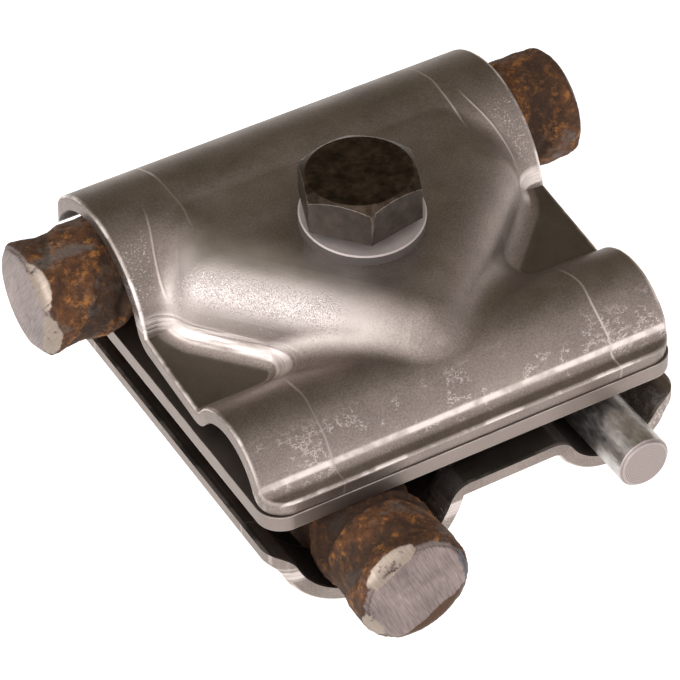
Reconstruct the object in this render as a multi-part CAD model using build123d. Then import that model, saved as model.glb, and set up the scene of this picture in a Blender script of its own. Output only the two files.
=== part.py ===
from build123d import *

import os
from math import asin, atan2, cos, degrees, hypot, radians, sin, sqrt, tan

# Cross clamp for earthing and lightning-protection conductors: two alike pressed
# plates with a flat plate between them, drawn together on one bolt. The upper
# plate's channels run along X, the lower plate's along Y. Millimetres, +Z up.

# Pressed plates, in their own flat position: the channels run along X, the small
# one is towards -Y, and the sheet's inner face lies at Z = 0
sheet = 2.3
plate_width = 70.0
plate_corner = 4.5
small_channel_radius = 8.2
small_channel_depth = 6.2
small_channel_offset = 22.8
large_channel_radius = 13.7
large_channel_depth = 11.4
large_channel_offset = 18.4
bend_radius = 1.5
rim_radius = 0.6

# Spur: the raised V that carries the bolt, from the large channel to a rounded tip
spur_depth = 11.2
spur_half_width = 30.6
spur_end_margin = 4.15
plate_length = 2 * (spur_half_width + spur_end_margin)
spur_reach = 29.6
spur_draft = radians(15)
spur_tip_radius = 5.5
spur_shoulder_radius = 4.5
spur_crown_radius = 8.0
spur_foot_radius = 4.0
bolt_hole_clearance = 0.5

# Flat plate between the conductors
middle_thickness = 2.6
middle_end_margin = 0.05
middle_side_margin = -1.4
middle_length = plate_length + 2 * middle_end_margin
middle_width = plate_width + 2 * middle_side_margin
middle_corner = 4.0

# Ribbed reinforcing bars
bar_radius = 7.7
rib_height = 1.4
rib_width = 1.6
rib_pitch = 9.5
rib_slant = radians(32)
rib_rise = 1.4
bar_end_chamfer = 1.0
upper_bar_length = 93.0
upper_bar_shift = -0.5
upper_bar_turn = radians(-40)
lower_bar_length = 91.0
lower_bar_shift = -1.6
lower_bar_turn = 0.0

# Round galvanised conductor
rod_radius = 4.25
rod_length = 84.0
rod_shift = -1.3
rod_end_chamfer = 0.5

# Fasteners
bolt_radius = 5.0
bolt_length = 55.0
bolt_point = 1.2
hex_across_flats = 17.0
head_height = 6.4
head_turn = 10.0
nut_height = 8.0
nut_turn = 22.0
washer_radius = 9.6
washer_hole_clearance = 0.4
washer_thickness = 2.0
washer_edge = 0.2
washer_shift = 0.25
thread_clearance = 0.05
hex_chamfer_slope = radians(30)
hex_face_share = 0.95

# How the pieces lie on each other
bar_gap = 0.3
contact_gap = 0.1
lower_lean = radians(0.6)

plateau = spur_depth + sheet


def near(points, spots):
    """The points that lie at one of the spots."""
    return [p for p in points if any((Vector(p) - Vector(s)).length < 0.01 for s in spots)]


def channel_section(inset):
    """Section of the pressed form across its channels, set in from the outer face."""
    level = sheet - inset
    reach = plate_width / 2 + inset
    chords = []
    for centre, radius, depth in (
        (-small_channel_offset, small_channel_radius, small_channel_depth),
        (large_channel_offset, large_channel_radius, large_channel_depth),
    ):
        outer = radius + sheet - inset
        crest = depth + sheet - inset
        half = sqrt(outer**2 - (level - crest + outer) ** 2)
        chords.append(((centre - half, level), (centre, crest), (centre + half, level)))
    small, large = chords
    edges = [
        Line((reach, level - sheet), (-reach, level - sheet)),
        Line((-reach, level - sheet), (-reach, level)),
        Line((-reach, level), small[0]),
        ThreePointArc(*small),
        Line(small[2], large[0]),
        ThreePointArc(*large),
        Line(large[2], (reach, level)),
        Line((reach, level), (reach, level - sheet)),
    ]
    return make_face(Wire(edges))


def spur_outline(height, inset):
    """Plan of the spur at a height above the sheet's inner face."""
    slope = inset / cos(spur_draft) + (height - sheet + inset) * tan(spur_draft)
    side = spur_half_width - slope
    tip = spur_reach - slope * sqrt(2)
    outline = Polyline(
        (-side, large_channel_offset),
        (-side, side - tip),
        (0, -tip),
        (side, side - tip),
        (side, large_channel_offset),
        close=True,
    )
    face = make_face(outline)
    grown = (plateau - inset - height) * tan(spur_draft)
    face = fillet(near(face.vertices(), [(0, -tip, 0)]), spur_tip_radius - inset + grown)
    shoulders = [(side * s, side - tip, 0) for s in (-1, 1)]
    face = fillet(near(face.vertices(), shoulders), spur_shoulder_radius - inset + grown)
    return Pos(0, 0, height) * face


def spur(inset):
    """Drafted V block with a rounded crown, set in from the outer face."""
    top = plateau - inset
    block = loft([spur_outline(-inset, inset), spur_outline(top, inset)], ruled=True)
    crown = [e for e in block.edges() if abs(e.bounding_box().min.Z - top) < 0.01]
    crown = [e for e in crown if e.bounding_box().min.Y < large_channel_offset - 0.01]
    return fillet(crown, spur_crown_radius - inset)


def channel_feet(form, level):
    """Edges along X where the channels rise from the flat sheet."""
    feet = [e for e in form.edges() if abs(e.center().Z - level) < 0.001]
    feet = [e for e in feet if abs(e.center().Y) < plate_width / 2 - 0.001]
    return [e for e in feet if abs(e.tangent_at(0.5).X) > 0.999]


def pressed_form(inset, overhang):
    """Solid whose upper face is the pressed sheet's outer face, or its inner face.

    Only the outer face has the spur's wide foot, which takes up the channels' feet
    beside the spur's ends; inside, every bend is alike."""
    level = sheet - inset
    channels = extrude(Plane.YZ * channel_section(inset), plate_length / 2 + overhang, both=True)
    block = spur(inset)
    form = channels + block
    seams = []
    for edge in form.edges():
        middle = edge.center()
        on_both = all(Vertex(*middle).distance_to(part.shell()) < 0.001 for part in (channels, block))
        if on_both and middle.Z < level + spur_depth - 1:
            seams.append(edge)
    if inset > 0:
        return fillet(seams + channel_feet(form, level), bend_radius + inset)
    form = fillet(seams, spur_foot_radius)
    feet = [e for e in channel_feet(form, level) if e.length > spur_end_margin]
    return fillet(feet, bend_radius)


def pressed_plate():
    """One pressing: both channels, the spur, the bolt hole and a rim rounded by the blanking."""
    inside = pressed_form(sheet, sheet)
    plate = pressed_form(0, 0) - inside
    blank = extrude(RectangleRounded(plate_length, plate_width, plate_corner), plateau + sheet)
    hole = Cylinder(bolt_radius + bolt_hole_clearance, 4 * plateau)
    plate = (plate & blank) - hole
    rim = []
    for edge in plate.edges():
        spot = edge @ 0.5
        to_end = plate_length / 2 - abs(spot.X)
        to_side = plate_width / 2 - abs(spot.Y)
        at_corner = to_end < plate_corner and to_side < plate_corner
        outside = inside.distance_to(Vertex(*spot)) > 0.9 * sheet
        if outside and (min(to_end, to_side) < 0.01 or at_corner):
            rim.append(edge)
    return fillet(rim, rim_radius)


def hexagon(height):
    """Hexagonal block standing on Z = 0, chamfered at the top."""
    corner = hex_across_flats / sqrt(3)
    block = extrude(RegularPolygon(corner, 6, rotation=0), height)
    face = hex_across_flats / 2 * hex_face_share
    cone = Cone(face + height / tan(hex_chamfer_slope), face, height)
    return block & Pos(0, 0, height / 2) * cone


def hex_bolt():
    """Bolt with its head's underside at Z = 0."""
    shank = Pos(0, 0, -bolt_length / 2) * Cylinder(bolt_radius, bolt_length)
    point = [e for e in shank.edges() if abs(e.center().Z + bolt_length) < 0.01]
    return Rot(0, 0, head_turn) * hexagon(head_height) + chamfer(point, bolt_point)


def hex_nut():
    """Nut with its upper face at Z = 0."""
    block = Rot(180, 0, nut_turn) * hexagon(nut_height)
    return block - Cylinder(bolt_radius + thread_clearance, 3 * nut_height)


def washer():
    """Plain washer lying on Z = 0."""
    ring = Cylinder(washer_radius, washer_thickness) - Cylinder(
        bolt_radius + washer_hole_clearance, washer_thickness
    )
    ring = chamfer(ring.edges().group_by(SortBy.LENGTH)[-1], washer_edge)
    return Pos(0, 0, washer_thickness / 2) * ring


def bar_reach(turn):
    """Height of a bar's side above its axis, with its ribs turned away from level."""
    return max(bar_radius, rib_rise * abs(sin(turn)) + bar_radius + rib_height - rib_rise)


def ribbed_bar(length, turn):
    """Reinforcing bar along X with crescent ribs on two sides, turned about its axis."""
    bar = Rot(0, 90, 0) * Cylinder(bar_radius, length)
    ends = [e for e in bar.edges() if e.geom_type == GeomType.CIRCLE]
    bar = chamfer(ends, bar_end_chamfer)
    count = int(length / rib_pitch - 1)
    start = -(count - 1) * rib_pitch / 2
    across = bar_radius + rib_height - rib_rise
    along = (across - rib_width / 2 * sin(rib_slant)) / cos(rib_slant)
    disc = extrude(Ellipse(along, across), rib_width / 2, both=True)
    disc = Rot(0, degrees(rib_slant), 0) * Rot(0, 90, 0) * disc
    ribs = [
        Pos(start + n * rib_pitch + side * rib_pitch / 4, side * rib_rise, 0) * disc
        for side in (-1, 1)
        for n in range(count)
    ]
    return Rot(-degrees(turn), 0, 0) * (bar + ribs)


def round_rod():
    """Smooth round conductor along Y, with both ends turned."""
    rod = Rot(90, 0, 0) * Cylinder(rod_radius, rod_length)
    return chamfer([e for e in rod.edges() if e.geom_type == GeomType.CIRCLE], rod_end_chamfer)


def middle_plate():
    """Flat plate, with its upper face at Z = 0."""
    blank = extrude(RectangleRounded(middle_length, middle_width, middle_corner), -middle_thickness)
    return blank - Cylinder(bolt_radius + bolt_hole_clearance, 4 * middle_thickness)


# The upper plate stands with its front edge on the middle plate and its large
# channel on the bar, so it leans: the lean follows from the bar's size.
upper_reach = bar_reach(upper_bar_turn)
upper_bar_drop = large_channel_depth - bar_gap - upper_reach
lever = plate_width / 2 + large_channel_offset
lean = asin(upper_reach / hypot(lever, upper_bar_drop)) - atan2(upper_bar_drop, lever)
upper_y = (plateau - sheet / 2) * sin(lean)
upper_z = plate_width / 2 * sin(lean) + contact_gap
upper_bar_y = upper_y + large_channel_offset * cos(lean) - upper_bar_drop * sin(lean)
upper_bar_z = upper_reach + contact_gap
upper_place = Pos(0, upper_y, upper_z) * Rot(degrees(lean), 0, 0)

# The washer lies on the plate, centred on the bolt, and the head bears on its high edge
washer_top = plateau + washer_thickness
washer_y = (sheet + washer_thickness) / 2 * tan(lean)
head_seat = upper_z + washer_top * cos(lean) + (washer_y + washer_radius) * sin(lean) + contact_gap

# The lower plate hangs under its own bar, turned over and a quarter round
lower_reach = bar_reach(lower_bar_turn)
lower_bar_drop = large_channel_depth - bar_gap - lower_reach
lower_bar_z = -middle_thickness - contact_gap - lower_reach
lower_z = lower_bar_z + large_channel_offset * sin(lower_lean) + lower_bar_drop * cos(lower_lean)
lower_bar_x = -large_channel_offset * cos(lower_lean) + lower_bar_drop * sin(lower_lean)
lower_place = Pos(0, 0, lower_z) * Rot(0, -degrees(lower_lean), 0) * Rot(0, 0, -90) * Rot(180, 0, 0)
rod_drop = small_channel_depth - contact_gap - rod_radius
rod_x = small_channel_offset * cos(lower_lean) + rod_drop * sin(lower_lean)
rod_z = lower_z + small_channel_offset * sin(lower_lean) - rod_drop * cos(lower_lean)
nut_seat = lower_z - plateau / cos(lower_lean) - hex_across_flats / sqrt(3) * tan(lower_lean) - contact_gap

# The frame's origin is the bottom centre of the whole clamp's box
origin = Pos(-upper_bar_shift, -lower_bar_shift, bolt_length - head_seat)

pieces = {
    "upper_plate": upper_place * pressed_plate(),
    "washer": upper_place * Pos(washer_shift, washer_y, plateau) * washer(),
    "hex_bolt": Pos(0, 0, head_seat) * hex_bolt(),
    "middle_plate": middle_plate(),
    "upper_rebar": Pos(upper_bar_shift, upper_bar_y, upper_bar_z)
    * ribbed_bar(upper_bar_length, upper_bar_turn),
    "lower_rebar": Pos(lower_bar_x, lower_bar_shift, lower_bar_z)
    * Rot(0, 0, 90)
    * ribbed_bar(lower_bar_length, lower_bar_turn),
    "round_conductor": Pos(rod_x, rod_shift, rod_z) * round_rod(),
    "lower_plate": lower_place * pressed_plate(),
    "hex_nut": Pos(0, 0, nut_seat) * hex_nut(),
}

os.makedirs("parts", exist_ok=True)
for name, piece in pieces.items():
    export_step(origin * piece, f"parts/{name}.step")
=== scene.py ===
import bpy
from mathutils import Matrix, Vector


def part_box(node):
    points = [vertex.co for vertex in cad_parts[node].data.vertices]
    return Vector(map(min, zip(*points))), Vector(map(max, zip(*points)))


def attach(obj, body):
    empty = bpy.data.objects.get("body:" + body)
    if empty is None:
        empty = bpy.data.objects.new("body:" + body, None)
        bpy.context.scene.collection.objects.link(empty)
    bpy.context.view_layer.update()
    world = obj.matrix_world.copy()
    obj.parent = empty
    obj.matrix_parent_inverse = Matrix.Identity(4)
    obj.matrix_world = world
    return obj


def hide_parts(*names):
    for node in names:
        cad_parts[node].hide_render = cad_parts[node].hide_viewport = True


bl_info = {
    "name": "Conductor clamp looks",
    "version": (1, 0, 0),
    "blender": (4, 5, 0),
    "location": "View3D > Sidebar > Clamp",
    "description": "Finishes, thread and studio for a bolted cross clamp on its conductors",
    "category": "Object",
}

from math import atan2, cos, pi, radians, sin

import bmesh
import bpy
from mathutils import Matrix, Vector, noise

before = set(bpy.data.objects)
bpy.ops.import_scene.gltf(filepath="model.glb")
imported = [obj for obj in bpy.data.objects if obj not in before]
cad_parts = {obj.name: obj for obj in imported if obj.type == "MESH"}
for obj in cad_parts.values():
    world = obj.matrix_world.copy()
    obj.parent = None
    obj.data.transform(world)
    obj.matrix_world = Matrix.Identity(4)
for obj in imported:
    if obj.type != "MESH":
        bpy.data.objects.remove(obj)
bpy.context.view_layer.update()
MM = 0.001
WELD = 0.001 * MM


def middle(node):
    """Centre of a CAD node's box."""
    low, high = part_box(node)
    return (low + high) / 2


def linear(text):
    """Linear RGB of an sRGB hex colour."""
    channels = [int(text[i : i + 2], 16) / 255 for i in (1, 3, 5)]
    return [c / 12.92 if c <= 0.04045 else ((c + 0.055) / 1.055) ** 2.4 for c in channels]


BOLT_AXIS = Vector((middle("hex_bolt").x, middle("hex_bolt").y, 0))


class ClampSizes(bpy.types.PropertyGroup):
    """Real sizes that the looks are drawn at"""

    thread_pitch: bpy.props.FloatProperty(
        name="Thread pitch",
        description="Rise of the bolt's thread in one turn",
        default=1.5 * MM,
        unit="LENGTH",
    )
    thread_depth: bpy.props.FloatProperty(
        name="Thread depth", description="Depth of the bolt's thread", default=0.9 * MM, unit="LENGTH"
    )
    head_height: bpy.props.FloatProperty(
        name="Head height", description="Height of the bolt's head", default=6.4 * MM, unit="LENGTH"
    )
    plate_lean: bpy.props.FloatProperty(
        name="Upper plate's lean",
        description="Tilt about the channels",
        default=radians(6.58),
        subtype="ANGLE",
    )
    plate_rise: bpy.props.FloatProperty(
        name="Upper plate's rise",
        description="Height of the upper plate's own origin over the middle plate",
        default=4.11 * MM,
        unit="LENGTH",
    )
    plate_shift: bpy.props.FloatProperty(
        name="Upper plate's shift",
        description="Distance from the bolt's axis to the upper plate's own origin",
        default=1.41 * MM,
        unit="LENGTH",
    )
    left_step: bpy.props.FloatProperty(
        name="Left step",
        description="Where the die's left edge marks the arches",
        default=-22.4 * MM,
        unit="LENGTH",
    )
    right_step: bpy.props.FloatProperty(
        name="Right step",
        description="Where the die's right edge marks the arches",
        default=24.6 * MM,
        unit="LENGTH",
    )
    crease: bpy.props.FloatProperty(
        name="Crease",
        description="From the middle to the creases by the large arch's foot",
        default=30.2 * MM,
        unit="LENGTH",
    )
    voxel: bpy.props.FloatProperty(
        name="Rust grain",
        description="Mesh size of the weathered bars",
        default=0.42 * MM,
        unit="LENGTH",
    )
    rust_swell: bpy.props.FloatProperty(
        name="Rust swell",
        description="How far the rust stands up and down",
        default=0.22 * MM,
        unit="LENGTH",
    )


class ClampColours(bpy.types.PropertyGroup):
    """Base colours of the finishes"""

    steel: bpy.props.FloatVectorProperty(
        name="Pressed steel",
        description="Dull stainless sheet",
        default=linear("#90857f"),
        subtype="COLOR",
    )
    # Burnished steel, also used to paint highlights on edges, rims, bends and the spur's leg
    rubbed_and_highlight: bpy.props.FloatVectorProperty(
        name="Rubbed steel",
        description="Steel burnished by a tool",
        default=linear("#e6dcd8"),
        subtype="COLOR",
    )
    # Painted shade: dark tone painted on the pressed plates' low level flats
    painted_level_shade: bpy.props.FloatVectorProperty(
        name="Unworked steel",
        description="Sheet that no tool pressed",
        default=linear("#5d564c"),
        subtype="COLOR",
    )
    bolt: bpy.props.FloatVectorProperty(
        name="Bolt", description="Black-oxide steel", default=linear("#483d34"), subtype="COLOR"
    )
    # Painted light: a paler copy of the bolt's colour for its sides
    bolt_side_light: bpy.props.FloatVectorProperty(
        name="Bolt's side",
        description="Paler sides of the bolt and nut",
        default=linear("#5c5856"),
        subtype="COLOR",
    )
    washer: bpy.props.FloatVectorProperty(
        name="Washer", description="Tumbled steel", default=linear("#c0b5b2"), subtype="COLOR"
    )
    rust: bpy.props.FloatVectorProperty(
        name="Rust",
        description="Main colour of the rusty bars",
        default=linear("#583414"),
        subtype="COLOR",
    )
    bloom: bpy.props.FloatVectorProperty(
        name="Rust bloom", description="Fresh orange rust", default=linear("#a2682a"), subtype="COLOR"
    )
    scale: bpy.props.FloatVectorProperty(
        name="Mill scale",
        description="Blue-grey skin left from rolling",
        default=linear("#6a6662"),
        subtype="COLOR",
    )
    crest: bpy.props.FloatVectorProperty(
        name="Rust crest",
        description="Worn rust on the ribs",
        default=linear("#74492c"),
        subtype="COLOR",
    )
    sawn_dark: bpy.props.FloatVectorProperty(
        name="Sawn, dark",
        description="Dark lines of a sawn end",
        default=linear("#594f4e"),
        subtype="COLOR",
    )
    sawn_pale: bpy.props.FloatVectorProperty(
        name="Sawn, pale",
        description="Pale lines of a sawn end",
        default=linear("#a2928e"),
        subtype="COLOR",
    )
    ground_dark: bpy.props.FloatVectorProperty(
        name="Ground, dark",
        description="Dark lines of a ground flat",
        default=linear("#81756c"),
        subtype="COLOR",
    )
    ground_pale: bpy.props.FloatVectorProperty(
        name="Ground, pale",
        description="Pale lines of a ground flat",
        default=linear("#ad9f92"),
        subtype="COLOR",
    )
    turned_dark: bpy.props.FloatVectorProperty(
        name="Turned, dark",
        description="Dark rings of a turned end",
        default=linear("#8e8380"),
        subtype="COLOR",
    )
    turned_pale: bpy.props.FloatVectorProperty(
        name="Turned, pale",
        description="Pale rings of a turned end",
        default=linear("#aa9e9b"),
        subtype="COLOR",
    )
    zinc: bpy.props.FloatVectorProperty(
        name="Zinc",
        description="Hot-dip coating of the round conductor",
        default=linear("#bdbab8"),
        subtype="COLOR",
    )
    floor: bpy.props.FloatVectorProperty(
        name="Floor", description="Studio floor", default=linear("#f4f4f4"), subtype="COLOR"
    )


class ClampStudio(bpy.types.PropertyGroup):
    """Camera and light"""

    azimuth: bpy.props.FloatProperty(
        name="Azimuth",
        description="Camera's turn from looking along +Y",
        default=radians(28.11),
        subtype="ANGLE",
    )
    elevation: bpy.props.FloatProperty(
        name="Elevation",
        description="Camera's height over the horizon",
        default=radians(41.43),
        subtype="ANGLE",
    )
    roll: bpy.props.FloatProperty(
        name="Roll",
        description="Camera's turn about its own axis",
        default=radians(-2.28),
        subtype="ANGLE",
    )
    distance: bpy.props.FloatProperty(
        name="Distance", description="From the camera to the bolt", default=579.78 * MM, unit="LENGTH"
    )
    lens: bpy.props.FloatProperty(
        name="Lens", description="Focal length in millimetres on a 36 mm sensor", default=202.5
    )
    right_of_centre: bpy.props.FloatProperty(
        name="Right of centre",
        description="Pixels from the picture's centre to the bolt's foot",
        default=23.95,
    )
    above_centre: bpy.props.FloatProperty(
        name="Above centre",
        description="Pixels from the picture's centre up to the bolt's foot",
        default=29.94,
    )
    floor_drop: bpy.props.FloatProperty(
        name="Floor drop",
        description="How far the floor lies under the clamp",
        default=60 * MM,
        unit="LENGTH",
    )
    floor_glow: bpy.props.FloatProperty(
        name="Floor glow", description="Light of the floor's own, which keeps it pale", default=0.55
    )


# Settings that many shader nodes share
SMOOTH = {"interpolation_type": "SMOOTHSTEP"}
TINT = {"data_type": "RGBA", "output": 2}
DOT = {"operation": "DOT_PRODUCT", "output": 1}
TIMES = {"operation": "MULTIPLY"}
TIMES_PLUS = {"operation": "MULTIPLY_ADD"}
MINUS = {"operation": "SUBTRACT"}
LARGER = {"operation": "MAXIMUM"}
SIZE = {"operation": "ABSOLUTE"}


def add(tree, kind, inputs, output=0, **settings):
    """Adds a shader node with its settings and its inputs, which are values or links."""
    node = tree.nodes.new("ShaderNode" + kind)
    for name, value in settings.items():
        setattr(node, name, value)
    for socket, value in inputs.items():
        if isinstance(value, bpy.types.NodeSocket):
            tree.links.new(value, node.inputs[socket])
        else:
            node.inputs[socket].default_value = value
    return node.outputs[output] if node.outputs else node


def new_material(name):
    """An empty node material and its tree."""
    material = bpy.data.materials.new(name)
    material.use_nodes = True
    material.node_tree.nodes.clear()
    return material, material.node_tree


def shade(tree, **inputs):
    """Ends a material in a Principled shader."""
    sockets = {key.replace("_", " ").title(): value for key, value in inputs.items()}
    add(tree, "OutputMaterial", {"Surface": add(tree, "BsdfPrincipled", sockets)})


def local_millimetres(tree, place):
    """Object coordinates in a piece's own frame, in millimetres."""
    spot = add(tree, "TexCoord", {}, output=3)
    turn = place.to_euler("XYZ")
    inputs = {"Vector": spot, "Location": place.translation, "Rotation": turn, "Scale": (MM, MM, MM)}
    return add(tree, "Mapping", inputs, vector_type="TEXTURE")


def rgba(colour, factor=1.0):
    """A colour with its alpha, lightened or darkened."""
    return [min(1.0, c * factor) for c in colour[:3]] + [1.0]


def worn_and_highlight_edges(tree, radius, start, full):
    """1 along sharp edges, where handling has worn a finish and where edge highlights are painted, and 0 on
    the faces.
    """
    rounded = add(tree, "Bevel", {"Radius": radius})
    true_normal = add(tree, "NewGeometry", {}, output=1)
    facing = add(tree, "VectorMath", {0: rounded, 1: true_normal}, **DOT)
    return add(tree, "MapRange", {0: facing, 1: 1 - start, 2: 1 - full})


def pressed_steel(name, place, sizes, colours):
    """Cold-formed stainless sheet: dull mauve grey, with the die's step lines across the arches,
    a pitted glitter where it was stretched most, a burnished foot and rim painted bright as highlights,
    painted shade on the low level flats, a painted highlight on the spur's left leg, and fine bright
    scratches where it rubbed on the tool."""
    material, tree = new_material(name)
    spot = local_millimetres(tree, place)
    x, y, z = add(tree, "SeparateXYZ", {0: spot}).node.outputs
    facing = add(tree, "TexCoord", {}, output=1)
    across = add(tree, "Math", {0: x, 1: y}, operation="ADD")
    along = add(tree, "Math", {0: x, 1: y}, **MINUS)
    from_middle = add(tree, "Math", {0: x}, **SIZE)
    wobble = add(tree, "TexNoise", {"Vector": spot, "Scale": 0.12, "Detail": 1.0})
    fine = add(tree, "TexNoise", {"Vector": spot, "Scale": 3.4, "Detail": 4.0, "Roughness": 0.65})
    patch = add(tree, "TexNoise", {"Vector": spot, "Scale": 0.22, "Detail": 3.0})

    # The die's step lines wander a little, and a crease nearer each rim bows outwards
    wander, bow, bend_at = 1.6, 3.0, -31.7
    bent = add(tree, "Math", {0: wobble, 1: wander, 2: x}, **TIMES_PLUS)
    left, right = sizes.left_step / MM + wander / 2, sizes.right_step / MM + wander / 2
    outer = sizes.crease / MM
    crease_at = add(tree, "MapRange", {0: y, 1: 19.0, 2: 5.0, 3: outer - bow, 4: outer}, **SMOOTH)
    off_crease = add(tree, "Math", {0: from_middle, 1: crease_at}, **MINUS)
    off_left = add(tree, "Math", {0: bent, 1: left}, **MINUS)
    off_right = add(tree, "Math", {0: bent, 1: right}, **MINUS)
    off_bend = add(tree, "Math", {0: y, 1: bend_at}, **MINUS)
    off_bend = add(tree, "Math", {0: off_bend}, **SIZE)
    near = []
    for off, width in ((off_left, 0.24), (off_right, 0.24), (off_crease, 0.30)):
        off = add(tree, "Math", {0: off}, **SIZE)
        near.append(add(tree, "MapRange", {0: off, 1: width, 2: 0.06}))
    near_left, near_right, near_crease = near

    # Masks: what each is measured along, where it is 0 and where it is 1, in millimetres
    mask = {
        part: add(tree, "MapRange", {0: value, 1: none, 2: full}, **SMOOTH)
        for part, value, none, full in (
            ("large arch", y, 9.5, 13.0),
            ("small arch", y, -16.0, -18.5),
            ("left of step", bent, left + 0.3, left - 0.3),
            ("right of step", bent, right - 0.3, right + 0.3),
            ("crease from", y, 3.5, 6.0),
            ("crease to", y, 19.0, 15.0),
            ("crown in", across, -31.0, -25.0),
            ("crown out", across, -17.5, -23.0),
            ("crown from", along, -38.0, -31.0),
            ("crown to", along, 10.0, -2.0),
            # pale out and pale to bound the painted highlight on the spur's left leg
            ("pale out", across, -9.0, -18.0),
            ("pale to", along, 26.0, 8.0),
            ("tip middle", from_middle, 3.0, 1.0),
            ("tip high", y, -16.5, -19.0),
            ("tip low", y, -24.0, -21.5),
            ("band in", off_crease, 0.2, 1.2),
            ("band low", y, 3.5, 6.5),
            ("band high", y, 17.0, 12.0),
            ("front low", y, -33.6, -32.6),
            ("front high", y, -25.0, -29.0),
            ("foot low", z, 2.9, 3.2),
            ("foot high", z, 6.0, 5.0),
            ("left leg", across, -24.0, -25.5),
            ("behind arch", y, -15.5, -12.0),
            ("right end", x, 28.0, 30.5),
            ("beside arch", y, -1.0, 1.5),
        )
    }
    mask["near crease"] = near_crease
    for part, first, *others in (
        ("crease", "near crease", "crease from", "crease to"),
        ("crown", "crown in", "crown out", "crown from", "crown to"),
        ("pale", "crown in", "pale out", "crown from", "pale to"),
        ("tip", "tip middle", "tip high", "tip low"),
        ("band", "band in", "band low", "band high"),
        ("front", "front low", "front high"),
        ("left foot", "foot low", "foot high", "left leg", "behind arch"),
        ("right foot", "foot low", "foot high", "right end", "beside arch"),
    ):
        mask[part] = mask[first]
        for other in others:
            mask[part] = add(tree, "Math", {0: mask[part], 1: mask[other]}, **TIMES)
    arches = add(tree, "Math", {0: mask["large arch"], 1: mask["small arch"]}, **LARGER)
    ends = add(tree, "Math", {0: mask["left of step"], 1: mask["right of step"]}, **LARGER)
    steps = add(tree, "Math", {0: ends, 1: arches}, **TIMES)
    near_step = add(tree, "Math", {0: near_left, 1: near_right}, **LARGER)
    step_line = add(tree, "Math", {0: near_step, 1: arches}, **TIMES)

    # The stretched crown of the spur's left leg glitters with pits; fewer lie on its tip and bands
    tip_share, band_share = 0.55, 0.75
    pitted = add(tree, "Math", {0: mask["tip"], 1: tip_share, 2: mask["crown"]}, **TIMES_PLUS)
    pitted = add(tree, "Math", {0: mask["band"], 1: band_share, 2: pitted}, **TIMES_PLUS)
    need = add(tree, "Math", {0: pitted, 1: -0.28, 2: 0.86}, **TIMES_PLUS)
    need = add(tree, "Math", {0: patch, 1: -0.16, 2: need}, **TIMES_PLUS)
    over = add(tree, "Math", {0: fine, 1: need}, **MINUS)
    pits = add(tree, "MapRange", {0: over, 1: 0.0, 2: 0.07, 3: 0.0, 4: 0.95})

    # Crooked scratches on the small arch's front are contours of a noise, thickest past the step lines
    winding = add(tree, "Mapping", {"Vector": spot, "Scale": (0.3, 0.42, 0.42)}, vector_type="POINT")
    contour = add(tree, "TexNoise", {"Vector": winding, "Scale": 1.0, "Detail": 6.0, "Roughness": 0.75})
    off_line = add(tree, "Math", {0: contour, 1: 0.5}, **MINUS)
    off_line = add(tree, "Math", {0: off_line}, **SIZE)
    line = add(tree, "MapRange", {0: off_line, 1: 0.013, 2: 0.004})
    more = add(tree, "Math", {0: ends, 1: 0.09, 2: patch}, **TIMES_PLUS)
    scratched = add(tree, "MapRange", {0: more, 1: 0.535, 2: 0.58})
    scratches = add(tree, "Math", {0: line, 1: scratched}, **TIMES)
    scratches = add(tree, "Math", {0: scratches, 1: mask["front"]}, **TIMES)

    # Burnished by the die, and painted bright where highlights lie: the rim, the front bend, and the spur's
    # foot with its draw marks
    half_length = (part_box("middle_plate")[1].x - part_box("middle_plate")[0].x) / 2 / MM
    half_width = (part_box("upper_plate")[1].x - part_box("upper_plate")[0].x) / 2 / MM
    axes = place.to_3x3()
    rim = 0.0
    for value, half, axis in ((x, half_length, axes.col[0]), (y, half_width + 0.25, axes.col[1])):
        out = add(tree, "Math", {0: value}, **SIZE)
        by_rim = add(tree, "MapRange", {0: out, 1: half - 0.75, 2: half - 0.5})
        tilt = add(tree, "VectorMath", {0: facing, 1: axis}, **DOT)
        tilt = add(tree, "Math", {0: tilt}, **SIZE)
        rounded = add(tree, "MapRange", {0: tilt, 1: 0.93, 2: 0.8})
        by_rim = add(tree, "Math", {0: by_rim, 1: rounded}, **TIMES)
        rim = add(tree, "Math", {0: by_rim, 1: rim}, **LARGER)
    rim_break = add(tree, "MapRange", {0: patch, 1: 0.44, 2: 0.54, 3: 0.2, 4: 1.0})
    rim = add(tree, "Math", {0: rim, 1: rim_break}, **TIMES)
    bend = add(tree, "MapRange", {0: off_bend, 1: 0.38, 2: 0.12, 3: 0.0, 4: 0.8}, **SMOOTH)
    outside = add(tree, "MapRange", {0: z, 1: 2.5, 2: 3.0})
    bend = add(tree, "Math", {0: bend, 1: outside}, **TIMES)
    bend_break = add(tree, "MapRange", {0: patch, 1: 0.4, 2: 0.55, 3: 0.4, 4: 1.0})
    bend = add(tree, "Math", {0: bend, 1: bend_break}, **TIMES)
    foot = add(tree, "Math", {0: mask["left foot"], 1: mask["right foot"]}, **LARGER)
    drawn_out = add(tree, "Math", {0: along, 1: 0.05}, **TIMES)
    draw_spot = add(tree, "CombineXYZ", {0: drawn_out, 1: z})
    draw_marks = add(tree, "TexNoise", {"Vector": draw_spot, "Scale": 1.6, "Detail": 4.0})
    drawn = add(tree, "MapRange", {0: draw_marks, 1: 0.38, 2: 0.55, 3: 0.0, 4: 0.7})
    foot = add(tree, "Math", {0: foot, 1: drawn}, **TIMES)
    burnish_and_highlight = add(tree, "Math", {0: bend, 1: foot}, **LARGER)
    burnish_and_highlight = add(tree, "Math", {0: rim, 1: burnish_and_highlight}, **LARGER)
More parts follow.
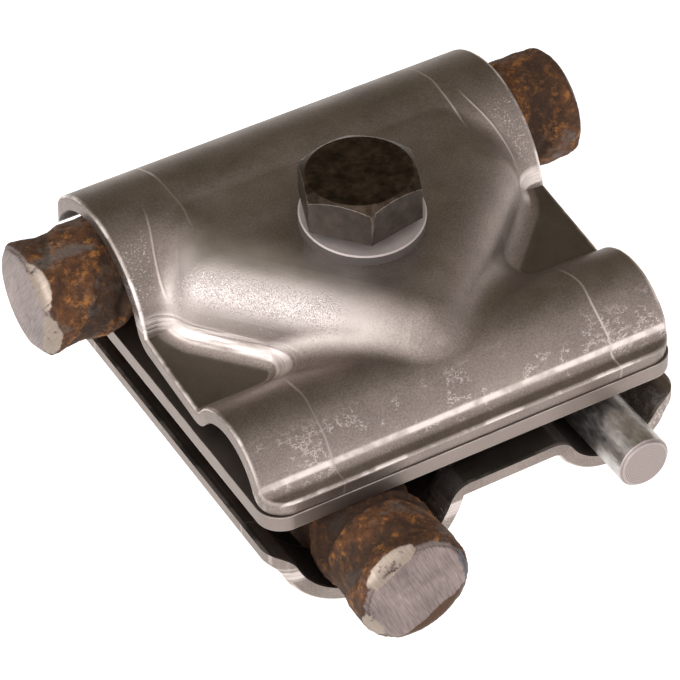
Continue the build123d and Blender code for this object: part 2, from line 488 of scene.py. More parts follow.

    # Grey tone with soft stains, painted shade on the low level flats, a painted highlight on the spur's
    # left leg, then the bright marks
    drift = add(tree, "TexNoise", {"Vector": spot, "Scale": 0.09, "Detail": 5.0, "Roughness": 0.6})
    speckled = add(tree, "Math", {0: drift, 1: 0.45}, **TIMES)
    speckled = add(tree, "Math", {0: fine, 1: 0.7, 2: speckled}, **TIMES_PLUS)
    stain = add(tree, "MapRange", {0: speckled, 1: 0.46, 2: 0.69})
    grey = add(tree, "Mix", {0: stain, 6: rgba(colours.steel, 0.77), 7: rgba(colours.steel, 1.2)}, **TINT)
    # Painted shade: low level faces behind the front flange are painted dark, as shade and as the dark
    # reflection from overhead
    level = add(tree, "VectorMath", {0: facing, 1: axes.col[2]}, **DOT)
    level = add(tree, "Math", {0: level}, **SIZE)
    painted_level_shade = add(tree, "MapRange", {0: level, 1: 0.95, 2: 0.99, 3: 0.0, 4: 0.75}, **SMOOTH)
    low = add(tree, "MapRange", {0: z, 1: 3.2, 2: 2.7})
    behind_flange = add(tree, "MapRange", {0: y, 1: -31.0, 2: -29.0})
    for part in (low, behind_flange):
        painted_level_shade = add(tree, "Math", {0: painted_level_shade, 1: part}, **TIMES)
    grey = add(tree, "Mix", {0: painted_level_shade, 6: grey, 7: rgba(colours.painted_level_shade)}, **TINT)
    # Painted highlight: the spur's left leg is painted paler, fading along it
    crown_highlight_fade = add(tree, "MapRange", {0: along, 1: 16.0, 2: -6.0, 3: 0.12, 4: 0.78})
    pale = add(tree, "Math", {0: mask["pale"], 1: crown_highlight_fade}, **TIMES)
    grey = add(tree, "Mix", {0: pale, 6: grey, 7: rgba(colours.rubbed_and_highlight, 0.8)}, **TINT)
    marks = add(tree, "Math", {0: pits, 1: burnish_and_highlight}, **LARGER)
    for line, strength in ((step_line, 0.42), (mask["crease"], 0.336), (scratches, 0.9)):
        line = add(tree, "Math", {0: line, 1: strength}, **TIMES)
        marks = add(tree, "Math", {0: marks, 1: line}, **LARGER)
    colour = add(tree, "Mix", {0: marks, 6: grey, 7: rgba(colours.rubbed_and_highlight)}, **TINT)
    rough = add(tree, "MapRange", {0: patch, 1: 0.3, 2: 0.7, 3: 0.41, 4: 0.52})
    rough = add(tree, "Math", {0: burnish_and_highlight, 1: -0.1, 2: rough}, **TIMES_PLUS)

    # Relief in millimetres: the steps and creases, then pits, grain and the foot's draw marks
    foot_marks = add(tree, "Math", {0: foot, 1: draw_marks}, **TIMES)
    height = 0.0
    forms = ((steps, 0.10), (mask["crease"], 0.07), (pits, 0.035), (fine, 0.022), (foot_marks, 0.06))
    for form, depth in forms:
        height = add(tree, "Math", {0: form, 1: depth, 2: height}, **TIMES_PLUS)
    normal = add(tree, "Bump", {"Height": height, "Distance": MM})
    shade(tree, base_color=colour, metallic=1.0, roughness=rough, normal=normal)
    return material


def flat_steel(name, colours):
    """Rolled stainless sheet with sheared edges: even grey with fine parallel grain and worn corners
    painted bright, as wear and as painted highlights."""
    material, tree = new_material(name)
    spot = local_millimetres(tree, Matrix.Translation(BOLT_AXIS))
    stretched = add(tree, "Mapping", {"Vector": spot, "Scale": (0.3, 4.0, 1.5)}, vector_type="POINT")
    grain = add(tree, "TexNoise", {"Vector": stretched, "Scale": 1.0, "Detail": 4.0})
    stain = add(tree, "TexNoise", {"Vector": spot, "Scale": 0.15, "Detail": 4.0})
    grey = add(tree, "Mix", {0: stain, 6: rgba(colours.steel, 0.85), 7: rgba(colours.steel, 1.15)}, **TINT)
    # Painted highlight: sharp edges are painted bright, as wear and as the highlight they catch
    worn_and_highlight = worn_and_highlight_edges(tree, 0.3 * MM, 0.02, 0.12)
    wear_break = add(tree, "MapRange", {0: stain, 1: 0.4, 2: 0.6, 3: 0.2, 4: 0.8})
    worn_and_highlight = add(tree, "Math", {0: worn_and_highlight, 1: wear_break}, **TIMES)
    colour = add(tree, "Mix", {0: worn_and_highlight, 6: grey, 7: rgba(colours.rubbed_and_highlight)}, **TINT)
    rough = add(tree, "MapRange", {0: grain, 3: 0.38, 4: 0.5})
    height = add(tree, "Math", {0: grain, 1: 0.012}, **TIMES)
    soft = add(tree, "Bevel", {"Radius": 0.25 * MM})
    normal = add(tree, "Bump", {"Height": height, "Distance": MM, "Normal": soft})
    shade(tree, base_color=colour, metallic=1.0, roughness=rough, normal=normal)
    return material


def black_oxide_steel(name, colours):
    """Forged and blackened steel: dark brown-black, faintly mottled, with an oily gloss, painted light that
    makes the sides paler than the top, and edges of the head worn to bare metal and painted bright as
    highlights."""
    material, tree = new_material(name)
    spot = local_millimetres(tree, Matrix.Translation(BOLT_AXIS))
    crown_height = (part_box("hex_bolt")[1].z - BOLT_AXIS.z) / MM
    cloud = add(tree, "TexNoise", {"Vector": spot, "Scale": 0.45, "Detail": 7.0, "Roughness": 0.72})
    fine = add(tree, "TexNoise", {"Vector": spot, "Scale": 2.2, "Detail": 4.0})
    blotch = add(tree, "MapRange", {0: cloud, 1: 0.36, 2: 0.64})
    dark = add(tree, "Mix", {0: blotch, 6: rgba(colours.bolt, 0.5), 7: rgba(colours.bolt, 1.7)}, **TINT)
    facing = add(tree, "SeparateXYZ", {0: add(tree, "TexCoord", {}, output=1)}, output=2)
    # Painted light: faces that stand upright are painted paler than the top
    side = add(tree, "MapRange", {0: facing, 1: 0.6, 2: 0.3, 3: 0.0, 4: 0.5})
    dark = add(tree, "Mix", {0: side, 6: dark, 7: rgba(colours.bolt_side_light)}, **TINT)
    rise = add(tree, "SeparateXYZ", {0: spot}, output=2)
    above = add(tree, "MapRange", {0: rise, 1: crown_height - 1.7, 2: crown_height - 1.1})
    below = add(tree, "MapRange", {0: rise, 1: crown_height - 0.1, 2: crown_height - 0.25, 3: 0.15, 4: 1.0})
    wear_break = add(tree, "MapRange", {0: cloud, 1: 0.35, 2: 0.6, 3: 0.3, 4: 0.75})
    # Painted highlight: the head's edges by the chamfer are painted bright, as bare metal and as highlights
    worn_and_highlight = worn_and_highlight_edges(tree, 0.16 * MM, 0.03, 0.10)
    for part in (above, below, wear_break):
        worn_and_highlight = add(tree, "Math", {0: worn_and_highlight, 1: part}, **TIMES)
    colour = add(tree, "Mix", {0: worn_and_highlight, 6: dark, 7: rgba(colours.rubbed_and_highlight)}, **TINT)
    rough = add(tree, "MapRange", {0: cloud, 1: 0.3, 2: 0.7, 3: 0.34, 4: 0.46})
    height = add(tree, "Math", {0: fine, 1: 0.02}, **TIMES)
    normal = add(tree, "Bump", {"Height": height, "Distance": MM})
    shade(tree, base_color=colour, metallic=1.0, roughness=rough, normal=normal)
    return material


def tumbled_steel(name, colours):
    """Blanked washer, tumbled: light mauve grey and almost matt, with a worn rim painted bright as a
    highlight, and a side wall painted dark as shade."""
    material, tree = new_material(name)
    spot = local_millimetres(tree, Matrix.Translation(BOLT_AXIS))
    cloud = add(tree, "TexNoise", {"Vector": spot, "Scale": 0.5, "Detail": 4.0})
    fine = add(tree, "TexNoise", {"Vector": spot, "Scale": 2.5, "Detail": 3.0})
    dark, pale = rgba(colours.washer, 0.85), rgba(colours.washer, 1.15)
    grey = add(tree, "Mix", {0: cloud, 6: dark, 7: pale}, **TINT)
    # Painted shade: the upright side wall is painted dark
    facing = add(tree, "SeparateXYZ", {0: add(tree, "TexCoord", {}, output=1)}, output=2)
    tilt = add(tree, "Math", {0: facing}, **SIZE)
    painted_side_shade = add(tree, "MapRange", {0: tilt, 1: 0.7, 2: 0.3, 3: 0.0, 4: 0.88})
    grey = add(tree, "Mix", {0: painted_side_shade, 6: grey, 7: rgba(colours.washer, 0.15)}, **TINT)
    # Painted highlight: the rim's edges are painted bright, as wear and as a highlight
    worn_and_highlight = worn_and_highlight_edges(tree, 0.2 * MM, 0.04, 0.14)
    worn_and_highlight = add(tree, "Math", {0: worn_and_highlight, 1: 0.6}, **TIMES)
    colour = add(tree, "Mix", {0: worn_and_highlight, 6: grey, 7: rgba(colours.rubbed_and_highlight)}, **TINT)
    height = add(tree, "Math", {0: fine, 1: 0.03}, **TIMES)
    normal = add(tree, "Bump", {"Height": height, "Distance": MM})
    shade(tree, base_color=colour, metallic=0.7, roughness=0.62, normal=normal)
    return material


def rusty_steel(name, bar, colours):
    """Hot-rolled ribbed bar left outdoors: matt dark brown rust with orange bloom, blue-grey mill
    scale showing through, and bare ends with the saw's fine curved lines."""
    material, tree = new_material(name)
    spot = local_millimetres(tree, Matrix.Translation(bar.centre))
    parts = add(tree, "SeparateXYZ", {0: spot}).node.outputs
    run = add(tree, "Math", {0: parts[bar.axis]}, **SIZE)
    section = add(tree, "CombineXYZ", {0: parts[1 - bar.axis], 1: parts[2]})
    radius = add(tree, "VectorMath", {0: section}, output=1, operation="LENGTH")
    grit, cloud, speck = (
        add(tree, "TexNoise", {"Vector": spot, **texture})
        for texture in (
            {"Scale": 0.9, "Detail": 7.0, "Roughness": 0.72},
            {"Scale": 0.13, "Detail": 5.0, "Roughness": 0.6, "Distortion": 0.5},
            {"Scale": 0.42, "Detail": 7.0, "Roughness": 0.72, "Distortion": 0.4},
        )
    )

    # Rust from dark to orange, then mill scale, worn crests, and dark patches of rust with painted shade in
    # the hollows near the core
    grain = add(tree, "MapRange", {0: grit, 1: 0.34, 2: 0.66})
    skin = add(tree, "Mix", {0: grain, 6: rgba(colours.rust, 0.16), 7: rgba(colours.rust, 1.5)}, **TINT)
    some_grit = add(tree, "Math", {0: grit, 1: 0.4}, **TIMES)
    lit = add(tree, "Math", {0: speck, 1: 0.6, 2: some_grit}, **TIMES_PLUS)
    bloom = add(tree, "MapRange", {0: lit, 1: 0.52, 2: 0.59, 3: 0.0, 4: 0.95})
    ragged_cloud = add(tree, "Math", {0: grit, 1: 0.28, 2: cloud}, **TIMES_PLUS)
    scale_skin = add(tree, "MapRange", {0: ragged_cloud, 1: 0.70, 2: 0.80, 3: 0.0, 4: 0.7})
    crest = add(tree, "MapRange", {0: radius, 1: bar.core + 1.1, 2: bar.core + 1.5, 3: 0.0, 4: 0.35})
    # Painted shade: the hollows between the ribs and the clamped core are painted dark, joined with dark
    # rust patches from a noise
    hollow_shade_and_dark_rust = add(tree, "MapRange", {0: radius, 1: bar.core + 1.2, 2: bar.core + 0.7, 3: 0.0, 4: 0.75})
    deep = add(tree, "MapRange", {0: cloud, 1: 0.50, 2: 0.40, 3: 0.0, 4: 0.7})
    hollow_shade_and_dark_rust = add(tree, "Math", {0: hollow_shade_and_dark_rust, 1: deep}, **LARGER)
    for part, tint in (
        (bloom, rgba(colours.bloom)),
        (scale_skin, rgba(colours.scale)),
        (crest, rgba(colours.crest)),
        (hollow_shade_and_dark_rust, rgba(colours.rust, 0.2)),
    ):
        skin = add(tree, "Mix", {0: part, 6: skin, 7: tint}, **TINT)

    # Bare steel: the sawn faces with their rims, and brighter flats that were ground on their corners
    ragged = add(tree, "Math", {0: speck, 1: 0.9, 2: run}, **TIMES_PLUS)
    sawn = add(tree, "MapRange", {0: ragged, 1: bar.half + 0.15, 2: bar.half + 0.35})
    flat = 0.0
    for normal, offset in bar.flats:
        height = add(tree, "VectorMath", {0: spot, 1: normal}, **DOT)
        height = add(tree, "Math", {0: speck, 1: 1.1, 2: height}, **TIMES_PLUS)
        part = add(tree, "MapRange", {0: height, 1: offset + 0.36, 2: offset + 0.48})
        flat = add(tree, "Math", {0: part, 1: flat}, **LARGER)
    by_end = add(tree, "MapRange", {0: ragged, 1: bar.half - 0.30, 2: bar.half - 0.10})
    by_rim = add(tree, "MapRange", {0: radius, 1: bar.core + 0.2, 2: bar.core + 0.6, 3: 0.0, 4: 0.8})
    bare = add(tree, "Math", {0: by_end, 1: by_rim}, **TIMES)
    for part in (sawn, flat):
        bare = add(tree, "Math", {0: part, 1: bare}, **LARGER)

    # Saw lines: fine across the cut and long along it, with stains on the faces
    cuts = []
    for direction, fineness in ((bar.across_cuts, 4.5), (bar.along_cuts, 0.3)):
        place = add(tree, "VectorMath", {0: spot, 1: direction}, **DOT)
        cuts.append(add(tree, "Math", {0: place, 1: fineness}, **TIMES))
    saw_spot = add(tree, "CombineXYZ", {0: cuts[0], 1: cuts[1]})
    saw = add(tree, "TexNoise", {"Vector": saw_spot, "Scale": 1.0, "Detail": 3.0, "Distortion": 0.5})
    some_cloud = add(tree, "Math", {0: cloud, 1: 0.55}, **TIMES)
    tone = add(tree, "Math", {0: saw, 1: 0.6, 2: some_cloud}, **TIMES_PLUS)
    tone = add(tree, "MapRange", {0: tone, 1: 0.32, 2: 0.80})
    face = add(tree, "Mix", {0: tone, 6: rgba(colours.sawn_dark), 7: rgba(colours.sawn_pale)}, **TINT)
    for direction, offset, tint in bar.stains:
        out = add(tree, "VectorMath", {0: spot, 1: direction}, **DOT)
        out = add(tree, "Math", {0: speck, 1: 2.2, 2: out}, **TIMES_PLUS)
        part = add(tree, "MapRange", {0: out, 1: offset, 2: offset + 0.25, 3: 0.0, 4: 0.85})
        face = add(tree, "Mix", {0: part, 6: face, 7: rgba(tint)}, **TINT)
    ground = add(tree, "Mix", {0: saw, 6: rgba(colours.ground_dark), 7: rgba(colours.ground_pale)}, **TINT)
    steel = add(tree, "Mix", {0: flat, 6: face, 7: ground}, **TINT)
    colour = add(tree, "Mix", {0: bare, 6: skin, 7: steel}, **TINT)
    metal = add(tree, "Math", {0: scale_skin, 1: 0.55}, **TIMES)
    metal = add(tree, "Math", {0: bare, 1: metal}, **LARGER)
    skin_rough = add(tree, "MapRange", {0: scale_skin, 3: 0.82, 4: 0.5})
    rough = add(tree, "Mix", {0: bare, 2: skin_rough, 3: 0.42}, data_type="FLOAT")
    rust_height = add(tree, "Mix", {0: bare, 2: some_grit, 3: 0.2}, data_type="FLOAT")
    saw_depth = add(tree, "Math", {0: sawn, 1: 0.03}, **TIMES)
    height = add(tree, "Math", {0: saw, 1: saw_depth, 2: rust_height}, **TIMES_PLUS)
    normal = add(tree, "Bump", {"Height": height, "Distance": MM})
    shade(tree, base_color=colour, metallic=metal, roughness=rough, normal=normal)
    return material


def hot_dip_zinc(name, colours):
    """Hot-dip galvanised wire: blue-grey with soft clouds drawn out along it, and a turned end with
    faint rings, drawn coarse enough to show."""
    material, tree = new_material(name)
    low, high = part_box("round_conductor")
    spot = local_millimetres(tree, Matrix.Translation(middle("round_conductor")))
    half = (high.y - low.y) / 2 / MM
    parts = add(tree, "SeparateXYZ", {0: spot}).node.outputs
    run = add(tree, "Math", {0: parts[1]}, **SIZE)
    face = add(tree, "MapRange", {0: run, 1: half - 0.55, 2: half - 0.45})
    drawn = add(tree, "Mapping", {"Vector": spot, "Scale": (1.5, 0.55, 1.5)}, vector_type="POINT")
    texture = {"Vector": drawn, "Scale": 1.0, "Detail": 6.0, "Roughness": 0.62, "Distortion": 0.3}
    cloud = add(tree, "TexNoise", texture)
    spangle = add(tree, "MapRange", {0: cloud, 1: 0.36, 2: 0.64})
    skin = add(tree, "Mix", {0: spangle, 6: rgba(colours.zinc, 0.85), 7: rgba(colours.zinc, 1.3)}, **TINT)
    flat = add(tree, "CombineXYZ", {0: parts[0], 1: parts[2]})
    texture = {"Vector": flat, "Scale": 1.1, "Distortion": 0.5, "Detail": 2.0}
    rings = add(tree, "TexWave", texture, wave_type="RINGS", rings_direction="SPHERICAL")
    dark, pale = rgba(colours.turned_dark), rgba(colours.turned_pale)
    turned = add(tree, "Mix", {0: rings, 6: dark, 7: pale}, **TINT)
    # Painted highlight: the end's chamfer edges are painted bright, as wear and as the rings of highlight
    # they catch
    worn_and_highlight = worn_and_highlight_edges(tree, 0.25 * MM, 0.03, 0.12)
    turned = add(tree, "Mix", {0: worn_and_highlight, 6: turned, 7: rgba(colours.rubbed_and_highlight)}, **TINT)
    colour = add(tree, "Mix", {0: face, 6: skin, 7: turned}, **TINT)
    rough = add(tree, "MapRange", {0: cloud, 1: 0.3, 2: 0.7, 3: 0.30, 4: 0.42})
    ring_height = add(tree, "Math", {0: rings, 1: face}, **TIMES)
    skin_height = add(tree, "Math", {0: cloud, 1: 0.06}, **TIMES)
    height = add(tree, "Math", {0: ring_height, 1: 0.02, 2: skin_height}, **TIMES_PLUS)
    normal = add(tree, "Bump", {"Height": height, "Distance": MM})
    shade(tree, base_color=colour, metallic=1.0, roughness=rough, normal=normal)
    return material


def dress(node, material):
    """Gives a CAD node its finish."""
    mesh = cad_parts[node].data
    mesh.materials.clear()
    mesh.materials.append(material)


def upper_plate_place(sizes):
    """The upper plate's own frame, on its lean."""
    level = middle("middle_plate").z + (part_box("middle_plate")[1].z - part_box("middle_plate")[0].z) / 2
    spot = BOLT_AXIS + Vector((0, sizes.plate_shift, level + sizes.plate_rise))
    return Matrix.Translation(spot) @ Matrix.Rotation(sizes.plate_lean, 4, "X")


def lower_plate_place():
    """The lower plate's own frame: turned over and a quarter round."""
    spot = BOLT_AXIS + Vector((0, 0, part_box("lower_plate")[1].z))
    return Matrix.Translation(spot) @ Matrix.Rotation(-pi / 2, 4, "Z") @ Matrix.Rotation(pi, 4, "X")


class CLAMP_OT_pressed_plates(bpy.types.Operator):
    """Finish both pressed plates, each in its own frame"""

    bl_idname = "clamp.pressed_plates"
    bl_label = "Pressed plates"

    def execute(self, context):
        sizes, colours = context.scene.clamp_sizes, context.scene.clamp_colours
        upper, lower = upper_plate_place(sizes), lower_plate_place()
        dress("upper_plate", pressed_steel("pressed stainless upper", upper, sizes, colours))
        dress("lower_plate", pressed_steel("pressed stainless lower", lower, sizes, colours))
        return {"FINISHED"}


class CLAMP_OT_middle_plate(bpy.types.Operator):
    """Finish the flat plate between the conductors"""

    bl_idname = "clamp.middle_plate"
    bl_label = "Middle plate"

    def execute(self, context):
        dress("middle_plate", flat_steel("rolled stainless sheet", context.scene.clamp_colours))
        return {"FINISHED"}


class CLAMP_OT_fasteners(bpy.types.Operator):
    """Model the threaded bolt, and finish the nut and the washer"""

    bl_idname = "clamp.fasteners"
    bl_label = "Bolt, nut and washer"

    def execute(self, context):
        sizes, colours = context.scene.clamp_sizes, context.scene.clamp_colours
        dark = black_oxide_steel("black-oxide steel", colours)
        dress("hex_nut", dark)
        dress("washer", tumbled_steel("tumbled steel", colours))
        low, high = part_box("hex_bolt")
        seat = high.z - sizes.head_height

        # The head is the CAD head, cut off at its seat
        form = bmesh.new()
        form.from_mesh(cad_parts["hex_bolt"].data)
        bmesh.ops.remove_doubles(form, verts=form.verts, dist=WELD)
        cut = bmesh.ops.bisect_plane(
            form,
            geom=form.verts[:] + form.edges[:] + form.faces[:],
            plane_co=(0, 0, seat + WELD),
            plane_no=(0, 0, 1),
            clear_inner=True,
        )
        rim = [e for e in cut["geom_cut"] if isinstance(e, bmesh.types.BMEdge)]
        bmesh.ops.contextual_create(form, geom=rim)

        # The shank is a core with a pointed end, wound with one closed ridge
        shank_radius, point, run_out, taper = 5 * MM, 1.2 * MM, 2 * MM, 0.85
        core = shank_radius - sizes.thread_depth
        for radius_low, radius_high, bottom, top in (
            (core * taper, core, low.z, low.z + point),
            (core, core, low.z + point, seat + 0.5 * MM),
        ):
            place = Matrix.Translation(BOLT_AXIS + Vector((0, 0, (bottom + top) / 2)))
            bmesh.ops.create_cone(
                form,
                cap_ends=True,
                segments=48,
                radius1=radius_low,
                radius2=radius_high,
                depth=top - bottom,
                matrix=place,
            )
        pitch = sizes.thread_pitch
        turns = int((seat - run_out - low.z - point) / pitch)
        steps = 24
        foot = low.z + point
        root, crest, sunk = 0.42 * pitch, 0.07 * pitch, core - 0.1 * MM
        ridge = [
            form.verts.new(BOLT_AXIS + Vector((radius, 0, foot + rise)))
            for radius, rise in ((sunk, -root), (shank_radius, -crest), (shank_radius, crest), (sunk, root))
        ]
        start = form.faces.new(ridge)
        bmesh.ops.spin(
            form,
            geom=[start],
            cent=BOLT_AXIS,
            axis=(0, 0, 1),
            dvec=(0, 0, pitch / steps),
            angle=2 * pi * turns,
            steps=steps * turns,
            use_duplicate=False,
        )
        bmesh.ops.recalc_face_normals(form, faces=form.faces)
        mesh = bpy.data.meshes.new("threaded_bolt")
        form.to_mesh(mesh)
        form.free()
        bolt = bpy.data.objects.new("threaded_bolt", mesh)
        context.scene.collection.objects.link(bolt)
        mesh.materials.append(dark)
        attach(bolt, "bolt")
        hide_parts("hex_bolt")
        return {"FINISHED"}


class Bar:
    """A ribbed bar's place, ribs and ground flats, in millimetres from its own centre."""

    core = 7.7  # radius between the ribs
    flare = 1.3  # how far the last ribs stand out of the core
    low_share = 0.55  # part of that height between the last ribs

    def __init__(self, node, axis, plate, room, twist, ground, cut_angle, stains):
        self.room, self.twist = room, twist
        low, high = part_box(node)
        self.node, self.axis, self.centre = node, axis, (low + high) / 2
        self.half = (high[axis] - low[axis]) / 2 / MM
        run, side = Vector((1, 0, 0)), Vector((0, 1, 0))
        if axis == 1:
            run, side = side, run
        self.run = run
        plate_low, plate_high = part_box(plate)
        self.clear = {
            -1: (self.centre[axis] - plate_low[axis]) / MM,
            1: (plate_high[axis] - self.centre[axis]) / MM,
        }
        self.across_cuts = side * cos(cut_angle) + Vector((0, 0, 1)) * sin(cut_angle)
        self.along_cuts = side * sin(cut_angle) - Vector((0, 0, 1)) * cos(cut_angle)
        self.stains = [
            (side * cos(angle) + Vector((0, 0, 1)) * sin(angle), offset, linear(tint))
            for angle, offset, tint in stains
        ]
        self.flats = []
        for end, angle, steep, depth in ground:
            radial = side * cos(angle) + Vector((0, 0, 1)) * sin(angle)
            normal = run * end * sin(steep) + radial * cos(steep)
            corner = run * end * self.half + radial * (self.core + self.flare)
            self.flats.append((normal, corner.dot(normal) - depth))


def even_mesh(name, form, voxel, scene):
    """Fills a form's mesh with small even quads."""
    mesh = bpy.data.meshes.new(name)
    form.to_mesh(mesh)
    piece = bpy.data.objects.new(name, mesh)
    scene.collection.objects.link(piece)
    remesh = piece.modifiers.new("even mesh", "REMESH")
    remesh.mode = "VOXEL"
    remesh.voxel_size = voxel
    even = bpy.data.meshes.new_from_object(piece.evaluated_get(bpy.context.evaluated_depsgraph_get()))
    piece.modifiers.clear()
    piece.data = even
    form.clear()
    form.from_mesh(even)
    form.normal_update()
    return piece


def share(value, none, full):
    """How far a value has come from none to full, from 0 to 1."""
    return min(1.0, max(0.0, (value - none) / (full - none)))


def weathered_bar(name, bar, burrs, sizes, colours, scene):
    """Copies a CAD bar, thickens what stands out of the plates by its last ribs, lets rust swell its
    skin, grinds its flats and raises burrs at its end."""
    plate_gap, free_reach, ramp = 0.2, 5.0, 1.4
    whole_from, whole_ramp = 5.0, 3.0
    still, swelling = 0.15, 0.65
    burr_width, burr_depth, burr_lean = 1.1, 0.8, 0.2
    form = bmesh.new()
    form.from_mesh(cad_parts[bar.node].data)
    bmesh.ops.remove_doubles(form, verts=form.verts, dist=WELD)
    bmesh.ops.triangulate(form, faces=form.faces)
    piece = even_mesh(name, form, sizes.voxel, scene)
    for vertex in form.verts:
        spot = (vertex.co - bar.centre) / MM
        along = spot[bar.axis]
        end = 1 if along > 0 else -1
        radial = spot - bar.run * along

        # The ribs start where the plate over the bar ends, and sooner on the bar's free side
        room = max(0.0, radial.z * bar.room) / bar.core
        start = bar.clear[end] + plate_gap - free_reach * room
        outside = share(along * end, start, start + ramp)
        turn = atan2(radial.z, radial[1 - bar.axis])
        ridge = min(1.0, max(0.0, 0.9 + 1.5 * cos(2.0 * turn + along * bar.twist)))
        whole = share(abs(along), bar.half - whole_from, bar.half - whole_from + whole_ramp)
        target = bar.core + bar.flare * (bar.low_share + (1 - bar.low_share) * max(ridge, whole))
        lift = max(0.0, target * min(1.0, radial.length / bar.core) - radial.length)
        vertex.co += radial.normalized() * lift * outside * MM

        # Rust swells the skin, but not the sawn and ground faces
        clear = min([bar.half - abs(along)] + [offset - spot.dot(normal) for normal, offset in bar.flats])
        swell = noise.fractal(spot * 0.35, 1.0, 2.1, 4) + 0.4 * noise.fractal(spot * 1.4, 1.0, 2.1, 2)
        vertex.co += vertex.normal * swell * sizes.rust_swell * share(clear, still, swelling)
        for burr_end, angle, spread, height in burrs:
            side = Vector((0, 1, 0)) if bar.axis == 0 else Vector((1, 0, 0))
            towards = side * cos(angle) + Vector((0, 0, 1)) * sin(angle)
            near = max(0.0, 1 - radial.angle(towards, pi) / spread)
            at_edge = max(0.0, 1 - abs(bar.half - along * burr_end) / burr_width)
            at_edge *= radial.length > bar.core - burr_depth
            lump = max(0.0, 0.5 + noise.fractal(spot * 1.1, 0.8, 2.2, 3)) * near * at_edge
            vertex.co += (radial.normalized() + bar.run * burr_end * burr_lean) * lump * height * MM
    for normal, offset in bar.flats:
        cut = bmesh.ops.bisect_plane(
            form,
            geom=form.verts[:] + form.edges[:] + form.faces[:],
            plane_co=bar.centre + normal * offset * MM,
            plane_no=normal,
            clear_outer=True,
        )
        rim = [e for e in cut["geom_cut"] if isinstance(e, bmesh.types.BMEdge)]
        flat = bmesh.ops.contextual_create(form, geom=rim)["faces"]
        bmesh.ops.triangulate(form, faces=flat)
    bmesh.ops.recalc_face_normals(form, faces=form.faces)
    form.to_mesh(piece.data)
    form.free()
    for polygon in piece.data.polygons:
        polygon.use_smooth = True
    piece.data.materials.clear()
    piece.data.materials.append(rusty_steel(name.replace("_", " ") + " rust", bar, colours))
    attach(piece, "base")
    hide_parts(bar.node)


class CLAMP_OT_conductors(bpy.types.Operator):
    """Weather the ribbed bars and finish the round conductor"""

    bl_idname = "clamp.conductors"
    bl_label = "Conductors"

    def execute(self, context):
        scene = context.scene
        sizes, colours = scene.clamp_sizes, scene.clamp_colours
        # Flats: which end, angle round the bar, tilt, depth under the corner in millimetres
        # Stains on the sawn faces: angle round the bar, distance from its axis, colour
        # Burrs: which end, angle round the bar, how far they spread, height in millimetres
        upper_flats = (
            (-1, radians(192), radians(52), 1.35),
            (-1, radians(128), radians(50), 1.25),
            (-1, radians(250), radians(45), 1.1),
        )
        lower_flats = ((-1, radians(122), radians(48), 1.35), (-1, radians(205), radians(52), 1.0))
        lower_stains = ((radians(-62), 6.6, "#4a3018"), (radians(16), 8.4, "#55565f"))
        upper_burrs = ((-1, radians(120), 0.7, 0.5), (1, radians(200), 1.2, 0.4))
        lower_burrs = ((-1, radians(110), 0.8, 0.9),)
        twist = 0.42
        upper = Bar("upper_rebar", 0, "upper_plate", 1, twist, upper_flats, radians(35), ())
        lower = Bar("lower_rebar", 1, "lower_plate", -1, -twist, lower_flats, radians(22), lower_stains)
        weathered_bar("rusty_upper_bar", upper, upper_burrs, sizes, colours, scene)
        weathered_bar("rusty_lower_bar", lower, lower_burrs, sizes, colours, scene)
        dress("round_conductor", hot_dip_zinc("hot-dip galvanised wire", colours))
        return {"FINISHED"}


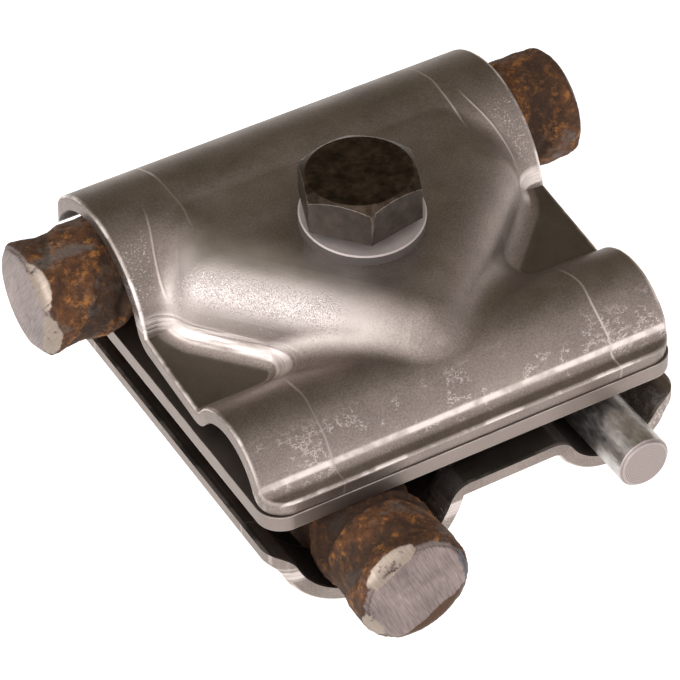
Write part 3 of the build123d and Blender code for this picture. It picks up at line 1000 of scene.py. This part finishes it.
class CLAMP_OT_stage(bpy.types.Operator):
    """Set up the floor, the light and the camera"""

    bl_idname = "clamp.stage"
    bl_label = "Studio"

    def execute(self, context):
        studio, colours = context.scene.clamp_studio, context.scene.clamp_colours
        form = bmesh.new()
        place = Matrix.Translation((0, 0, -studio.floor_drop))
        bmesh.ops.create_grid(form, x_segments=1, y_segments=1, size=6.0, matrix=place)
        mesh = bpy.data.meshes.new("studio_floor")
        form.to_mesh(mesh)
        form.free()
        floor = bpy.data.objects.new("studio_floor", mesh)
        context.scene.collection.objects.link(floor)
        material, tree = new_material("pale studio paper")
        shade(
            tree,
            base_color=rgba(colours.floor),
            roughness=0.9,
            emission_color=rgba(colours.floor),
            emission_strength=studio.floor_glow,
        )
        mesh.materials.append(material)

        # Soft tent: grey round the horizon, dark olive behind and overhead, with three broad glows
        world = bpy.data.worlds.new("soft tent")
        world.use_nodes = True
        tree = world.node_tree
        tree.nodes.clear()
        sky = add(tree, "TexCoord", {}, output=0)
        back = Vector((0.353, 0.62, 0.70)).normalized()
        grey, olive = (0.68, 0.64, 0.625, 1), (0.20, 0.172, 0.118, 1)
        facing = add(tree, "VectorMath", {0: sky, 1: back}, **DOT)
        darkened = add(tree, "MapRange", {0: facing, 1: 0.35, 2: 0.85}, **SMOOTH)
        colour = add(tree, "Mix", {0: darkened, 6: grey, 7: olive}, **TINT)
        for direction, edge, core, strength in (
            ((-0.75, -0.35, 0.56), 0.45, 0.95, 1.15),
            ((0.22, -0.95, 0.22), 0.80, 0.98, 0.28),
            ((0.30, -0.35, 0.89), 0.80, 0.98, 0.30),
        ):
            facing = add(tree, "VectorMath", {0: sky, 1: Vector(direction).normalized()}, **DOT)
            glow = add(tree, "MapRange", {0: facing, 1: edge, 2: core, 3: 0.0, 4: strength}, **SMOOTH)
            colour = add(tree, "Mix", {0: 1.0, 6: colour, 7: glow}, blend_type="ADD", **TINT)
        light = add(tree, "Background", {"Color": colour, "Strength": 1.0})
        add(tree, "OutputWorld", {"Surface": light})
        context.scene.world = world

        target = Vector((BOLT_AXIS.x, BOLT_AXIS.y, middle("middle_plate").z))
        for name, direction, distance, size, power in (
            ("left softbox", (-0.85, -0.35, 0.45), 0.9, 0.4, 1.4),
            ("front strip", (0.35, -0.90, 0.12), 0.9, 0.30, 0.5),
        ):
            lamp = bpy.data.lights.new(name, "AREA")
            lamp.shape = "RECTANGLE"
            lamp.size = size
            lamp.size_y = size
            lamp.energy = power
            holder = bpy.data.objects.new(name, lamp)
            holder.location = target + Vector(direction).normalized() * distance
            holder.rotation_euler = Vector(direction).to_track_quat("Z", "Y").to_euler()
            context.scene.collection.objects.link(holder)

        turn, rise = studio.azimuth, studio.elevation
        forward = Vector((sin(turn) * cos(rise), cos(turn) * cos(rise), -sin(rise)))
        right = Vector((cos(turn), -sin(turn), 0))
        down = forward.cross(right)
        c, s = cos(studio.roll), sin(studio.roll)
        right, down = c * right - s * down, s * right + c * down
        aim = BOLT_AXIS + Vector((0, 0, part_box("middle_plate")[1].z))
        sensor, picture = 36, 680
        pixel = studio.distance / (studio.lens / sensor * picture)
        offset = (right * studio.right_of_centre - down * studio.above_centre) * pixel
        camera_data = bpy.data.cameras.new("camera")
        camera_data.sensor_width = sensor
        camera_data.lens = studio.lens
        camera_data.clip_start = 0.01
        camera = bpy.data.objects.new("camera", camera_data)
        turned = Matrix((right, -down, -forward)).transposed().to_4x4()
        camera.matrix_world = Matrix.Translation(aim - offset - forward * studio.distance) @ turned
        context.scene.collection.objects.link(camera)
        context.scene.camera = camera
        context.scene.view_settings.view_transform = "Standard"
        return {"FINISHED"}


class CLAMP_PT_panel(bpy.types.Panel):
    """Lists the clamp's pieces, sizes and colours"""

    bl_label = "Conductor clamp"
    bl_space_type = "VIEW_3D"
    bl_region_type = "UI"
    bl_category = "Clamp"

    def draw(self, context):
        for operator in OPERATORS:
            self.layout.operator(operator.bl_idname)
        for group in (context.scene.clamp_sizes, context.scene.clamp_colours, context.scene.clamp_studio):
            for name in group.__annotations__:
                self.layout.prop(group, name)


OPERATORS = (
    CLAMP_OT_stage,
    CLAMP_OT_pressed_plates,
    CLAMP_OT_middle_plate,
    CLAMP_OT_fasteners,
    CLAMP_OT_conductors,
)
GROUPS = {"clamp_sizes": ClampSizes, "clamp_colours": ClampColours, "clamp_studio": ClampStudio}
CLASSES = (*GROUPS.values(), *OPERATORS, CLAMP_PT_panel)


def register():
    for cls in CLASSES:
        bpy.utils.register_class(cls)
    for name, group in GROUPS.items():
        setattr(bpy.types.Scene, name, bpy.props.PointerProperty(type=group))


def unregister():
    for name in GROUPS:
        delattr(bpy.types.Scene, name)
    for cls in reversed(CLASSES):
        bpy.utils.unregister_class(cls)


def main():
    register()
    bpy.ops.clamp.stage()
    bpy.ops.clamp.pressed_plates()
    bpy.ops.clamp.middle_plate()
    bpy.ops.clamp.fasteners()
    bpy.ops.clamp.conductors()


if __name__ == "__main__":
    main()
